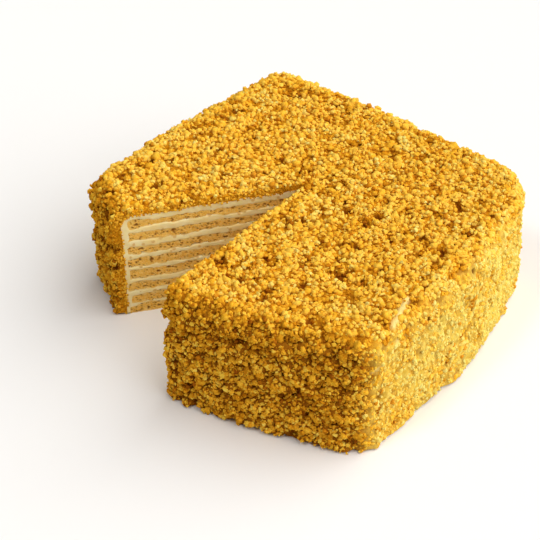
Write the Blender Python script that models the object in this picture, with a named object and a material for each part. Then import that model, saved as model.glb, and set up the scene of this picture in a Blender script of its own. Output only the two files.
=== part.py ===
"""Square honey layer cake with rounded corners, coated in crumbs, with one wedge cut out of it.

Run it with: blender --background --python part.py
Eight honey sponge layers alternate with seven cream layers. A cream coat covers the stack's top
and outer sides, and a crumb coat covers the cream. The cut runs from the middle to the front and
shows every layer. Metres, +Z up, origin at the centre of the base, the cake's back towards +Y.
"""

import math
import random

import bmesh
import bpy
import numpy as np
from mathutils import Matrix, Vector, noise
from mathutils.geometry import delaunay_2d_cdt

MM = 0.001
SEED = 8
GAP = 0.3 * MM  # between pieces that touch

# Outline seen from above, anticlockwise: x, y, corner radius, and how far the side that follows bulges
BACK_LEFT = (-106 * MM, 108 * MM, 12 * MM, 1.5 * MM)
FRONT_LEFT = (-113 * MM, -60 * MM, 16 * MM, 0.5 * MM)
FRONT_BEND = (-4 * MM, -110 * MM, 40 * MM, 2.5 * MM)
FRONT_RIGHT = (107 * MM, -76 * MM, 16 * MM, 6 * MM)
BACK_RIGHT = (95 * MM, 112 * MM, 28 * MM, 1.5 * MM)
CORNERS = (BACK_LEFT, FRONT_LEFT, FRONT_BEND, FRONT_RIGHT, BACK_RIGHT)
# Steps along each side of the finest outline, which halve twice for the coarser ones within
SIDE_STEPS = (28, 12, 20, 28, 32)
ARC_STEPS = 4

# Wedge that was cut out: where its point lies, and the angle between its two straight cuts
CUT_POINT = (-8.5 * MM, 17 * MM)
CUT_ANGLE = math.radians(36)
CUT_LENGTH = 200 * MM

# Heights
COAT_TOP = 78 * MM  # the crumb coat's mean top, which the largest crumbs pass by a few millimetres
CRUMB_THICKNESS = 5.5 * MM
CREAM_COAT_THICKNESS = 3 * MM
HONEY_LAYERS = 8
CREAM_SHARE = 0.35  # of one honey layer and one cream layer together
LAYER_SPREAD = 0.1  # how far a layer's thickness strays from the mean
THICK_CREAM = 6  # the cream layer, counted from below, that was spread more thickly
THICK_CREAM_GAIN = 1.35
WAVE_HEIGHT = 0.8 * MM
WAVE_LENGTH = 38 * MM
FOOT_CLEARANCE = 1.2 * MM  # under the two coats, which end just above what the cake stands on

# Outer form of the crumb coat
SHOULDER_RADIUS = 11 * MM
SHOULDER_STEPS = 3
WALL_STEPS = 12
TOP_SPACING = 5.7 * MM
COARSE_SPACING = 30 * MM
LAYER_SPACING = 75 * MM
BUMP_HEIGHT = 1.6 * MM
SWELL_HEIGHT = 0.9 * MM
SWELL_LENGTH = 30 * MM
FOOT_INSET = 0.6 * MM
FOOT_HEIGHT = 18 * MM
RIM_BULGE = 1.2 * MM
RIM_LEVEL = 67 * MM
RIM_SPREAD = 9 * MM
DENT_DEPTH = 1.4 * MM
DENT_LEVEL = 54 * MM
DENT_SPREAD = 5 * MM

# Large crumbs fused to the coat
CRUMB_COUNT = 80
CRUMB_RADIUS = (2.6 * MM, 3.4 * MM)
CRUMB_LIFT = 0.05  # of its radius, outwards from the coat to the crumb's middle
CRUMB_FLATNESS = 0.8
CRUMB_JITTER = 0.16
CRUMB_TRIES = 24  # places drawn for each crumb, of which the loneliest is taken

CREAM_TOP = COAT_TOP - CRUMB_THICKNESS
STACK_TOP = CREAM_TOP - CREAM_COAT_THICKNESS
STACK_INSET = CRUMB_THICKNESS + CREAM_COAT_THICKNESS

COLOURS = {
    "honey_sponge": (0.52, 0.27, 0.07, 1.0),
    "cream": (0.90, 0.80, 0.56, 1.0),
    "crumbs": (0.78, 0.44, 0.09, 1.0),
}
ROUGHNESS = {"honey_sponge": 0.85, "cream": 0.45, "crumbs": 0.9}


def clear_scene():
    """Remove whatever the scene holds at the start."""
    for item in list(bpy.data.objects):
        bpy.data.objects.remove(item, do_unlink=True)


def make_material(name):
    """A plain Principled material in one of the cake's three colours."""
    material = bpy.data.materials.new(name)
    material.use_nodes = True
    shader = material.node_tree.nodes["Principled BSDF"]
    shader.inputs["Base Color"].default_value = COLOURS[name]
    shader.inputs["Roughness"].default_value = ROUGHNESS[name]
    shader.inputs["Metallic"].default_value = 0.0
    return material


def add_object(name, vertices, faces, material=None):
    """One object from a closed surface, with its faces turned outwards."""
    mesh = bpy.data.meshes.new(name)
    mesh.from_pydata([tuple(v) for v in vertices], [], faces)
    solid = bmesh.new()
    solid.from_mesh(mesh)
    bmesh.ops.triangulate(solid, faces=solid.faces[:])
    bmesh.ops.recalc_face_normals(solid, faces=solid.faces[:])
    solid.to_mesh(mesh)
    solid.free()
    item = bpy.data.objects.new(name, mesh)
    bpy.context.scene.collection.objects.link(item)
    if material is not None:
        mesh.materials.append(material)
    return item


def moved_in_corners(inset):
    """The outline's sharp corners once every side has moved inwards by the inset."""
    points = [np.array(corner[:2]) for corner in CORNERS]
    moved = []
    for index, point in enumerate(points):
        before = point - points[index - 1]
        after = points[(index + 1) % len(points)] - point
        before = before / np.linalg.norm(before)
        after = after / np.linalg.norm(after)
        turn = before[0] * after[1] - before[1] * after[0]
        moved.append(point + (after - before) / turn * inset)
    return moved


def outline(inset, coarseness=1):
    """The plan outline moved inwards by the inset, anticlockwise: an arc at each corner, then a bulging side.

    Returns the points and their outward directions. Every inset gives the same number of points,
    and a coarseness of 2 or 4 keeps every second or fourth of them.
    """
    corners = moved_in_corners(inset)
    arcs = []
    for index, corner in enumerate(corners):
        before = corner - corners[index - 1]
        after = corners[(index + 1) % len(corners)] - corner
        before = before / np.linalg.norm(before)
        after = after / np.linalg.norm(after)
        turn = math.acos(float(np.clip(before @ after, -1, 1)))
        radius = max(CORNERS[index][2] - inset, 1 * MM)
        start = corner - before * radius * math.tan(turn / 2)
        middle = start + radius * np.array([-before[1], before[0]])
        first = math.atan2(-before[0], before[1])
        arc = []
        for step in range(ARC_STEPS + 1):
            angle = first + turn * step / ARC_STEPS
            way = np.array([math.cos(angle), math.sin(angle)])
            arc.append((middle + radius * way, way))
        arcs.append(arc)
    points, ways = [], []
    for index, arc in enumerate(arcs):
        for place, way in arc[:-1]:
            points.append(place)
            ways.append(way)
        start, way = arc[-1]
        end = arcs[(index + 1) % len(arcs)][0][0]
        steps = SIDE_STEPS[index]
        for step in range(steps):
            share = step / steps
            bulge = CORNERS[index][3] * math.sin(math.pi * share)
            points.append(start + (end - start) * share + way * bulge)
            ways.append(way)
    return np.array(points[::coarseness]), np.array(ways[::coarseness])


def inside(points, ring, margin):
    """Which points lie inside the ring and further than the margin from it."""
    start = ring
    end = np.roll(ring, -1, axis=0)
    x, y = points[:, None, 0], points[:, None, 1]
    crosses = (start[:, 1] > y) != (end[:, 1] > y)
    slope = (end[:, 0] - start[:, 0]) / np.where(end[:, 1] == start[:, 1], 1, end[:, 1] - start[:, 1])
    within = (crosses & (x < start[:, 0] + (y - start[:, 1]) * slope)).sum(axis=1) % 2 == 1
    along = end - start
    reach = points[:, None, :] - start
    share = np.clip((reach * along).sum(axis=2) / (along**2).sum(axis=1), 0, 1)
    distance = np.linalg.norm(reach - share[..., None] * along, axis=2).min(axis=1)
    return within & (distance > margin)


def filled_plan(ring, spacing, draw):
    """Points in a loose triangular pattern within the ring, and triangles over the ring and those points."""
    low, high = ring.min(axis=0), ring.max(axis=0)
    rows = np.arange(low[1], high[1], spacing * math.sin(math.pi / 3))
    pattern = []
    for number, y in enumerate(rows):
        shift = spacing / 2 * (number % 2)
        pattern += [(x + shift, y) for x in np.arange(low[0], high[0], spacing)]
    pattern = np.array(pattern)
    pattern += [[draw.uniform(-0.2, 0.2) * spacing for _ in range(2)] for _ in pattern]
    pattern = pattern[inside(pattern, ring, 0.55 * spacing)]
    points = np.vstack([ring, pattern])
    edges = [(i, (i + 1) % len(ring)) for i in range(len(ring))]
    result = delaunay_2d_cdt([Vector(p) for p in points], edges, [], 1, 1e-9)
    source = [origins[0] for origins in result[3]]
    faces = [tuple(source[corner] for corner in face) for face in result[2]]
    return pattern, faces


def wall_offset(z, way):
    """How far the crumb coat's wall stands out at a height: in at the foot, out at the rim, dented at the front."""
    foot = -FOOT_INSET * max(0.0, 1 - z / FOOT_HEIGHT) ** 2
    rim = RIM_BULGE * math.exp(-(((z - RIM_LEVEL) / RIM_SPREAD) ** 2))
    frontness = max(0.0, -way[1]) ** 2
    dent = -DENT_DEPTH * frontness * math.exp(-(((z - DENT_LEVEL) / DENT_SPREAD) ** 2))
    return foot + rim + dent


def coat_surface(inset, top, coarseness, levels, spacing, shape, draw):
    """An open dome: a wall from the foot up, a rounded shoulder and a top. Returns its points and faces.

    The inset and the top place it, and the levels are its wall's heights up to the shoulder. The
    shape function moves each point, given its place and its outward direction.
    """
    radius = SHOULDER_RADIUS - inset
    profile = [(z, 0.0) for z in levels]
    for step in range(1, SHOULDER_STEPS + 1):
        angle = math.pi / 2 * step / SHOULDER_STEPS
        profile.append((top - radius + radius * math.sin(angle), radius * (1 - math.cos(angle))))
    points = []
    for z, further in profile:
        ring, ways = outline(inset + further, coarseness)
        rise = further / radius
        for place, way in zip(ring, ways):
            outwards = Vector((way[0] * (1 - rise), way[1] * (1 - rise), rise)).normalized()
            points.append(shape(Vector((place[0], place[1], z)), outwards))
    count = len(ring)
    faces = []
    for level in range(len(profile) - 1):
        for index in range(count):
            following = (index + 1) % count
            low, high = level * count, (level + 1) * count
            faces.append((low + index, low + following, high + following, high + index))
    middle, triangles = filled_plan(ring, spacing, draw)
    last = (len(profile) - 1) * count
    shift = len(points) - count
    faces += [tuple(last + i if i < count else shift + i for i in triangle) for triangle in triangles]
    points += [shape(Vector((x, y, top)), Vector((0, 0, 1))) for x, y in middle]
    return points, faces


def join_rims(inner_start, inner_count):
    """Faces between an outer rim, whose points come first, and an inner rim with half as many points."""
    faces = []
    for index in range(inner_count):
        following = (index + 1) % inner_count
        near, far = inner_start + index, inner_start + following
        first, middle, last = 2 * index, 2 * index + 1, 2 * following
        faces += [(first, middle, near), (middle, last, far), (near, middle, far)]
    return faces


def add_shell(name, outer, inner, inner_count, material):
    """One solid between an outer and an inner dome, closed by the rim that joins their feet."""
    points = list(outer[0]) + list(inner[0])
    shift = len(outer[0])
    faces = list(outer[1])
    faces += [tuple(i + shift for i in face) for face in inner[1]]
    faces += join_rims(shift, inner_count)
    return add_object(name, points, faces, material)


def wave(x, y, boundary):
    """How far a layer boundary rises or falls at a place. The lowest one is flat."""
    if boundary == 0:
        return 0.0
    return WAVE_HEIGHT * noise.noise(Vector((x / WAVE_LENGTH, y / WAVE_LENGTH, boundary * 7.3)))


def layer_boundaries(draw):
    """Heights of the boundaries between layers, from 0 to the stack's top."""
    thicknesses = []
    for number in range(2 * HONEY_LAYERS - 1):
        share = CREAM_SHARE if number % 2 else 1 - CREAM_SHARE
        if number == 2 * THICK_CREAM - 1:
            share *= THICK_CREAM_GAIN
        thicknesses.append(share * draw.uniform(1 - LAYER_SPREAD, 1 + LAYER_SPREAD))
    scale = STACK_TOP / sum(thicknesses)
    return [0.0] + [scale * height for height in np.cumsum(thicknesses)]


def add_layers(boundaries, plan, sponge, cream):
    """The stack: honey and cream layers in turn, each one solid with gently wavy faces."""
    ring, middle, triangles = plan
    places = np.vstack([ring, middle])
    layers = []
    for number in range(len(boundaries) - 1):
        under = GAP / 2 if number else 0.0
        points = [(x, y, boundaries[number] + wave(x, y, number) + under) for x, y in places]
        points += [(x, y, boundaries[number + 1] + wave(x, y, number + 1) - GAP / 2) for x, y in places]
        faces = [tuple(reversed(face)) for face in triangles]
        faces += [tuple(i + len(places) for i in face) for face in triangles]
        for index in range(len(ring)):
            following = (index + 1) % len(ring)
            above = index + len(places)
            faces.append((index, following, following + len(places), above))
        kind, material = ("cream_layer", cream) if number % 2 else ("honey_layer", sponge)
        layers.append(add_object(f"{kind}_{number // 2 + 1}", points, faces, material))
    return layers


def add_cream_coat(boundaries, plan, material, draw):
    """The cream over the stack's top and outer sides, open below."""
    ring, middle, triangles = plan
    inset = CRUMB_THICKNESS + GAP
    levels = [FOOT_CLEARANCE, CREAM_TOP - GAP - (SHOULDER_RADIUS - inset)]
    outer = coat_surface(inset, CREAM_TOP - GAP, 2, levels, COARSE_SPACING, lambda p, n: p, draw)
    inner_ring, _ = outline(STACK_INSET - GAP, 4)
    last = len(boundaries) - 1
    ceiling = [(x, y, STACK_TOP + wave(x, y, last) + GAP / 2) for x, y in np.vstack([inner_ring, middle])]
    points = [(x, y, FOOT_CLEARANCE) for x, y in inner_ring] + ceiling
    count = len(inner_ring)
    faces = [(i, (i + 1) % count, (i + 1) % count + count, i + count) for i in range(count)]
    faces += [tuple(i + count for i in face) for face in triangles]
    return add_shell("cream_coat", outer, (points, faces), count, material)


def add_crumb_shell(material, draw):
    """The crumb coat before its large crumbs: a lumpy outside over the cream's smooth form."""
    wall_top = COAT_TOP - SHOULDER_RADIUS
    levels = list(np.linspace(FOOT_CLEARANCE, wall_top, WALL_STEPS + 1))

    def lumpy(place, outwards):
        swell = SWELL_HEIGHT * noise.noise(place / SWELL_LENGTH)
        push = swell + draw.uniform(-BUMP_HEIGHT, BUMP_HEIGHT)
        push += wall_offset(place.z, outwards) * (1 - outwards.z)
        moved = place + outwards * push
        if place.z <= FOOT_CLEARANCE:
            moved.z = FOOT_CLEARANCE
        return moved

    outer = coat_surface(0.0, COAT_TOP, 1, levels, TOP_SPACING, lumpy, draw)
    inset = CRUMB_THICKNESS
    levels = [FOOT_CLEARANCE, CREAM_TOP - (SHOULDER_RADIUS - inset)]
    inner = coat_surface(inset, CREAM_TOP, 2, levels, COARSE_SPACING, lambda p, n: p, draw)
    inner_count = len(outline(inset, 2)[0])
    return add_shell("crumb_coat", outer, inner, inner_count, material), outer


def crumb_places(outer, draw):
    """Middles and outward directions of the large crumbs, spread evenly over the coat's outside."""
    points = [Vector(p) for p in outer[0]]
    triangles = []
    for face in outer[1]:
        triangles += [(face[0], face[i], face[i + 1]) for i in range(1, len(face) - 1)]
    normals = [(points[b] - points[a]).cross(points[c] - points[a]) for a, b, c in triangles]
    weights = [normal.length for normal in normals]
    candidates = draw.choices(range(len(triangles)), weights, k=CRUMB_COUNT * CRUMB_TRIES)
    places, chosen = [], []
    for number in range(CRUMB_COUNT):
        best = None
        for index in candidates[number * CRUMB_TRIES : (number + 1) * CRUMB_TRIES]:
            a, b, c = (points[i] for i in triangles[index])
            p, q = sorted((draw.random(), draw.random()))
            place = a * p + b * (q - p) + c * (1 - q)
            if place.z < FOOT_CLEARANCE + CRUMB_RADIUS[1] * 1.3:
                continue
            away = min(((place - other).length for other in chosen), default=1.0)
            if best is None or away > best[0]:
                best = (away, place, normals[index].normalized())
        if best is not None:
            chosen.append(best[1])
            places.append(best[1:])
    return places


def add_crumb(name, place, outwards, radius, draw):
    """One rough crumb of twenty faces, squashed a little against the coat."""
    solid = bmesh.new()
    bmesh.ops.create_icosphere(solid, subdivisions=1, radius=radius)
    turn = Matrix.Rotation(draw.uniform(0, math.tau), 3, Vector((draw.random(), draw.random(), 1)))
    squash = Matrix.Diagonal((1, 1, CRUMB_FLATNESS))
    face_out = Vector((0, 0, 1)).rotation_difference(outwards).to_matrix()
    for vertex in solid.verts:
        vertex.co *= draw.uniform(1 - CRUMB_JITTER, 1 + CRUMB_JITTER)
        vertex.co = face_out @ squash @ turn @ vertex.co
        vertex.co += place + outwards * radius * CRUMB_LIFT
    mesh = bpy.data.meshes.new(name)
    solid.to_mesh(mesh)
    solid.free()
    return bpy.data.objects.new(name, mesh)


def apply_boolean(item, operation, operand=None, collection=None):
    """Join or cut the object with one object or with a whole collection, and apply the result."""
    modifier = item.modifiers.new(operation.lower(), "BOOLEAN")
    modifier.operation = operation
    modifier.solver = "EXACT"
    if collection is not None:
        modifier.operand_type = "COLLECTION"
        modifier.collection = collection
    else:
        modifier.object = operand
    graph = bpy.context.evaluated_depsgraph_get()
    result = bpy.data.meshes.new_from_object(item.evaluated_get(graph))
    item.modifiers.remove(modifier)
    item.data = result


def fuse_crumbs(coat, outer, draw):
    """Join the large crumbs to the coat as one body, the largest placed first."""
    heap = bpy.data.collections.new("crumbs")
    bpy.context.scene.collection.children.link(heap)
    radii = sorted((draw.uniform(*CRUMB_RADIUS) for _ in range(CRUMB_COUNT)), reverse=True)
    for number, (place, outwards) in enumerate(crumb_places(outer, draw)):
        heap.objects.link(add_crumb(f"crumb_{number}", place, outwards, radii[number], draw))
    apply_boolean(coat, "UNION", collection=heap)
    for crumb in list(heap.objects):
        bpy.data.objects.remove(crumb, do_unlink=True)
    bpy.data.collections.remove(heap)


def drop_scraps(item):
    """Keep only the object's largest connected piece."""
    solid = bmesh.new()
    solid.from_mesh(item.data)
    waiting = set(solid.verts)
    pieces = []
    while waiting:
        piece, edge = set(), [waiting.pop()]
        while edge:
            vertex = edge.pop()
            piece.add(vertex)
            fresh = {e.other_vert(vertex) for e in vertex.link_edges} & waiting
            waiting -= fresh
            edge += fresh
        pieces.append(piece)
    pieces.sort(key=len, reverse=True)
    for scrap in pieces[1:]:
        bmesh.ops.delete(solid, geom=list(scrap), context="VERTS")
    bmesh.ops.triangulate(solid, faces=solid.faces[:])
    solid.to_mesh(item.data)
    solid.free()


def make_cutter():
    """The wedge that was taken out: one cut straight to the front, the other turned to the left."""
    x, y = CUT_POINT
    right = (x, y - CUT_LENGTH)
    left = (x - CUT_LENGTH * math.sin(CUT_ANGLE), y - CUT_LENGTH * math.cos(CUT_ANGLE))
    low, high = -10 * MM, COAT_TOP + 10 * MM
    points = [(*p, z) for z in (low, high) for p in (CUT_POINT, left, right)]
    faces = [(0, 2, 1), (3, 4, 5), (0, 1, 4, 3), (1, 2, 5, 4), (2, 0, 3, 5)]
    cutter = add_object("cut_wedge", points, faces)
    cutter.display_type = "WIRE"
    cutter.hide_render = True
    return cutter


def centre_on_base(items):
    """Move every piece so that the whole stands at the origin, centred over it."""
    corners = np.array([v.co for item in items for v in item.data.vertices])
    middle = (corners.min(axis=0) + corners.max(axis=0)) / 2
    for item in items:
        item.data.transform(Matrix.Translation((-middle[0], -middle[1], 0)))


def main():
    clear_scene()
    draw = random.Random(SEED)
    sponge, cream, crumbs = (make_material(name) for name in ("honey_sponge", "cream", "crumbs"))

    ring, _ = outline(STACK_INSET, 4)
    plan = (ring, *filled_plan(ring, LAYER_SPACING, draw))
    boundaries = layer_boundaries(draw)
    pieces = add_layers(boundaries, plan, sponge, cream)
    pieces.append(add_cream_coat(boundaries, plan, cream, draw))
    crumb_coat, outer = add_crumb_shell(crumbs, draw)
    fuse_crumbs(crumb_coat, outer, draw)
    pieces.append(crumb_coat)

    cutter = make_cutter()
    for piece in pieces:
        apply_boolean(piece, "DIFFERENCE", operand=cutter)
        drop_scraps(piece)
    centre_on_base(pieces)


main()
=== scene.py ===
"""The square honey cake as it looks: porous sponge, soft cream and thousands of crumbs on the frame.

The cake is described by sections round the cut's point. An angle turns from the right cut face
round the cake to the left cut face, and stations lead from the middle outwards, round the shoulder
and down the wall. Every surface is worked out from those two numbers. Metres, +Z up.
"""

import math
from collections import namedtuple
from itertools import product

import bmesh
import bpy
import numpy as np
from mathutils import Euler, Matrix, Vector, noise


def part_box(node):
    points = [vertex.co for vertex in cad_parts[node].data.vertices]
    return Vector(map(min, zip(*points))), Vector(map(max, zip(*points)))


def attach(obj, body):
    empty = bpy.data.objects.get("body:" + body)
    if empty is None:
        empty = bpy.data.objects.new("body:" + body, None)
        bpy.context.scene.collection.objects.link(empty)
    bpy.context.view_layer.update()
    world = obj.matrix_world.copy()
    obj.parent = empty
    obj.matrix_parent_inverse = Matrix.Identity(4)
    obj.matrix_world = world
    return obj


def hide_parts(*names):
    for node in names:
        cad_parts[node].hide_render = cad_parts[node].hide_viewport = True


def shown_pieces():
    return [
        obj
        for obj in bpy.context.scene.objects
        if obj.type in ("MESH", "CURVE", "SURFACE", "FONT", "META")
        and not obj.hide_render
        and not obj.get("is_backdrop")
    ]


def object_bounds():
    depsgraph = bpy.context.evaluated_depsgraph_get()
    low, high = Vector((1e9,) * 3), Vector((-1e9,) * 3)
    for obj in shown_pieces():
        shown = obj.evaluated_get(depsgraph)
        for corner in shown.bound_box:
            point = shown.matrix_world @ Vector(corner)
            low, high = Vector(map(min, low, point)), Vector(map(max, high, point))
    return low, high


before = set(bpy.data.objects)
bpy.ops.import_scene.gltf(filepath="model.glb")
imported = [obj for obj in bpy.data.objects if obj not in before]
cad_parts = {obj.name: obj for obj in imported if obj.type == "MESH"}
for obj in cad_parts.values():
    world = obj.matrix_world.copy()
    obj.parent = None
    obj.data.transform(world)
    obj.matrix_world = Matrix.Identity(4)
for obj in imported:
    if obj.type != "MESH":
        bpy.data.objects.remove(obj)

CAD_BOX = [[float(value) for value in corner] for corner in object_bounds()]
PLAN_LOW, PLAN_HIGH = (np.array(corner[:2]) for corner in CAD_BOX)
MM = 0.001

# Plan of the cake, as the solids have it: x, y, corner radius, bulge of the side that follows
CORNERS = np.array([
    (-106, 108, 12, 1.5),
    (-113, -60, 16, 0.5),
    (-4, -110, 40, 2.5),
    (107, -76, 16, 6),
    (95, 112, 28, 1.5),
]) * MM
CENTRE_SHIFT = np.array((1.825, -3.457)) * MM
ARC_STEPS = 16
SIDE_STEPS = 64
POINT = np.array((-6.675, 13.543)) * MM
RIGHT_CUT = math.radians(-90)
LEFT_CUT = math.radians(234)
CUTS = (RIGHT_CUT, LEFT_CUT)

# Heights and thicknesses
COAT_TOP = 78 * MM
CRUMB_THICKNESS = 5.5 * MM
CREAM_COAT_THICKNESS = 3 * MM
CREAM_TOP = COAT_TOP - CRUMB_THICKNESS
STACK_TOP = CREAM_TOP - CREAM_COAT_THICKNESS
STACK_INSET = CRUMB_THICKNESS + CREAM_COAT_THICKNESS
STACK_RADIUS = 0.8 * MM
HONEY_LAYERS = 8
FOOT_CLEARANCE = 1.2 * MM
SHOULDER_RADIUS = 11 * MM

# The waves of the layers, as the solids have them
WAVE_HEIGHT = 0.8 * MM
WAVE_LENGTH = 38 * MM
WAVE_LATTICE = 9 * MM

# Finer waves that a knife shows, by height and length, and how much thicker each cream is
UNEVEN = ((0.9 * MM, 15 * MM), (0.8 * MM, 5 * MM), (0.45 * MM, 1.9 * MM))
CREAM_EXTRA = np.array((-0.5, -0.1, -0.8, -0.7, -0.2, 0.7, -0.1)) * MM
THINNEST_LAYER = 0.7 * MM
OVERLAP = 0.12 * MM

# Sponge at a cut: pores by size, share and depth, roughness by height and size, edges that cream soaked
SMALL_PORES = (1.5 * MM, 0.55, 0.55 * MM)
LARGE_PORES = (3.2 * MM, 0.12, 1.0 * MM)
SPONGE_ROUGH = ((0.3 * MM, 3.2 * MM), (0.2 * MM, 1.1 * MM))
SOAKED_EDGE = (0.24, 0.9, 2.6 * MM)
SPONGE_ENDS = (-0.3 * MM, 2.2 * MM)

# Cream at a cut: how far and how deep it runs on behind the sponge, its swell, roughness and flecks
UNDERLAP = 0.8 * MM
EDGE_DEPTH = 0.9 * MM
EDGE_LENGTH = 1.2 * MM
CREAM_SWELL = (0.3 * MM, 7 * MM)
CREAM_ROUGH = (0.16 * MM, 1.8 * MM)
CREAM_FLECKS = (2.4 * MM, 0.2)
AXIS_FADE = 2 * MM

# Where cream and crumbs meet at a cut: how far out from the solids' line, and how unevenly
MEETING_SHIFT = (0.6 * MM, 0.1 * MM)
MEETING = ((0.7 * MM, 8 * MM), (0.5 * MM, 2.6 * MM))
INNER_EDGE = (0.5 * MM, 0.9 * MM, 3.2 * MM)
SECTION_GRIT = (0.7 * MM, 2.2 * MM)

# The coat's outside on the solids' form: amount and size of its swells, roughness, grit and clumps
SWELL = (0.9 * MM, 30 * MM)
ROUGH = (0.9 * MM, 12 * MM)
GRIT = (1.0 * MM, 2.8 * MM)
CLUMP = (1.75 * MM, 6.5 * MM)
CLUMP_SHIFT = 0.25
HOLLOW_LEVEL = 0.3
DEEPEST = 4.0 * MM
CORE_SINK = 1.5 * MM

# How much stronger the clumps are on the walls, at the front and the shoulder, and weaker at the right
WALL_CLUMPS = 0.5
FRONT_CLUMPS = 1.5
SHOULDER_CLUMPS = 0.35
RIGHT_CLUMPS = 0.4

# Pits: size, start and growth in the noise, depth, share of crumbs lacking, fewer at the right, turn
PIT_SIZE = 5.2 * MM
PIT_LEVEL = (0.38, 0.12)
PIT_DEPTH = 2.0 * MM
PIT_LACKING = 0.9
RIGHT_PITS = 0.75
PIT_TURN = np.array(Euler((0.6, 0.5, 0.7)).to_matrix())

# Wall: in at the foot with bulges, out at the rim, and a dent under the front's rim, rising to the right
FOOT_INSET = 0.6 * MM
FOOT_HEIGHT = 18 * MM
FOOT_BULGE = (2.1 * MM, 11 * MM, 8 * MM)
RIM = (1.2 * MM, 67 * MM, 9 * MM)
DENT = (4.3 * MM, 56 * MM, 3.4 * MM)
DENT_RISE = 0.09
DENT_SWAY = (4 * MM, 30 * MM)
DENT_PATCHES = 13 * MM

# Where the sides lean in or out a little: middle of the place, its width, and how far out
LEANS = np.array([
    (-104, 80, 75, 25, -2.4),
    (90, 98, 64, 30, -2.6),
    (108, 20, 0, 45, 3.4),
    (-109, -58, 74, 14, -0.8),
    (50, -105, 0, 60, 3.0),
    (30, 112, 72, 50, -1.8),
]) * MM

# Cream soaked through at the right: patches, fill, large and small crumbs lacking, paler, sunk
BUTTER_PATCHES = 8 * MM
BUTTER_FILL = 0.8 * MM
BUTTER_LACKING = (0.4, 0.75)
BUTTER_PALER = 0.3
BUTTER_SUNK = 0.95

# The whole right side: small crumbs lacking, paler, sunk, creamy core, fuller hollows, browner corner
RIGHT_LACKING = 0.4
RIGHT_PALER = 0.30
RIGHT_SUNK = 0.6
RIGHT_BUTTERY = 0.65
RIGHT_FULLER = 0.5
CORNER_BROWNER = (0.3, 70 * MM)

# Cream that shows between the right side's crumbs, in millimetres: from, to, half width, strength
SMEARS = (
    ((104.4, -54.8, 76.3), (98.0, -32.5, 77.9), 1.7, 0.8),
    ((109.3, -55.1, 69.6), (109.5, -58.6, 64.2), 1.2, 0.45),
    ((107.8, -75.0, 60.8), (108.8, -71.4, 61.3), 1.8, 0.5),
)
SMEAR_LIFT = 0.6 * MM
SMEAR_FLAT = 0.75
SMEAR_BARE = 1.15
SMEAR_SWAY = (1.0 * MM, 4.0 * MM)

# Lone holes in the right side: how far apart, what share of the places has one, and how deep they are
SPOT_SPACING = 13 * MM
SPOT_SHARE = 0.7
SPOT_DEPTH = 2.2 * MM

# Fineness: spacings of the core, the cut faces and the hidden parts, and rows of points across a cut
CORE_SPACING = 1.21 * MM
CUT_SPACING = 0.5 * MM
COAT_CUT_SPACING = 0.6 * MM
HIDDEN_SPACING = 14 * MM
MEAN_REACH = 105 * MM
ROWS = {"honey": 13, "cream": 12, "cream_coat": 10, "crumbs": 6}
INNER_COUNTS = (6, 2, 2)

# Crumbs, in millimetres: spacing, radii, shares on top and wall, lift in radii, share that hollows lack
Kind = namedtuple("Kind", "name colour form smooth spacing small large on_top on_wall lift lacking")
KINDS = (
    Kind("crumbs_large", "golden", "ball", True, 5.0, 1.5, 2.2, 0.9, 0.45, 0.35, 0.7),
    Kind("crumbs_medium", "golden", "block", False, 3.0, 1.1, 1.6, 1.0, 0.75, 0.6, 0.6),
    Kind("crumbs_pale", "pale", "block", False, 3.9, 1.0, 1.5, 0.5, 0.95, 0.7, 0.6),
    Kind("crumbs_fine", "golden", "nugget", False, 2.35, 0.6, 1.05, 0.5, 1.0, 0.9, 0.45),
    Kind("crumbs_fine_pale", "pale", "nugget", False, 2.9, 0.55, 0.95, 0.15, 0.9, 1.0, 0.5),
    Kind("crumbs_tiny", "golden", "chip", False, 2.4, 0.35, 0.65, 0.35, 0.95, 0.8, 0.25),
    Kind("crumbs_toasted", "toasted", "block", True, 4.4, 0.9, 1.7, 0.95, 0.8, 0.7, 0.3),
)
FINE_SPACING = 3

# How crumbs are scattered, in spacings, and shaped: how far a row is from the next, and each is shaken
ROW_RISE = 0.866
SHAKE = 0.42
CRUMB_ROUGHNESS = 0.36
CRUMB_STRETCH = 0.3
CRUMB_FLATNESS = 0.85
CRUMB_LIFTS = (0.3, 1.4)
LOWEST_CRUMB = 0.05 * MM
OVERHANG = (-1.5 * MM, 1.5 * MM)
OVERHANG_LENGTH = 25 * MM
RAGGED = (0.8 * MM, 3 * MM)
TOASTED_PATCHES = (9 * MM, 0.1, 0.25, 0.08)
CUT_CRUMBS = (1.4 * MM, 0.5, 1.2)

# Tones from 0, brown, to 1, pale: the mean, each crumb's own, the drift, and how much darker they are
# painted for shade at the front, in the hollows, in the pits and near the cut's point
MEAN_TONE = 0.37
OWN_TONE = (0.4, 0.15)
DRIFT = (0.25, 0.1, 7 * MM)
FRONT_SHADE_DARKENING = 0.44
HOLLOW_SHADE_DARKENING = 0.7
PIT_SHADE_DARKENING = 0.9
CUT_POINT_SHADE_DARKENING = (0.6, 35 * MM)

# How dark the core is painted for shade at the front, and in the hollows: anywhere, more at the front, less
# right
FRONT_PAINTED_SHADE = 0.8
HOLLOW_PAINTED_SHADE = (0.6, 0.4, 0.1)

# Crumb colours along the tones
STOPS = {
    "golden": (
        (0.0, (0.46, 0.15, 0.002)),
        (0.35, (0.85, 0.44, 0.026)),
        (0.7, (0.92, 0.58, 0.075)),
        (1.0, (0.81, 0.70, 0.20)),
    ),
    "pale": ((0.0, (0.72, 0.34, 0.008)), (0.4, (0.87, 0.60, 0.075)), (1.0, (0.80, 0.73, 0.24))),
    "toasted": ((0.0, (0.22, 0.05, 0.004)), (0.5, (0.60, 0.225, 0.009)), (1.0, (0.80, 0.38, 0.035))),
}
TONE_MOTTLE = (1.1, 0.35)
CRUMB_BUMPS = (0.6, 0.2 * MM)
CRUMB_SURFACE = (0.85, 0.0)

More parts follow.
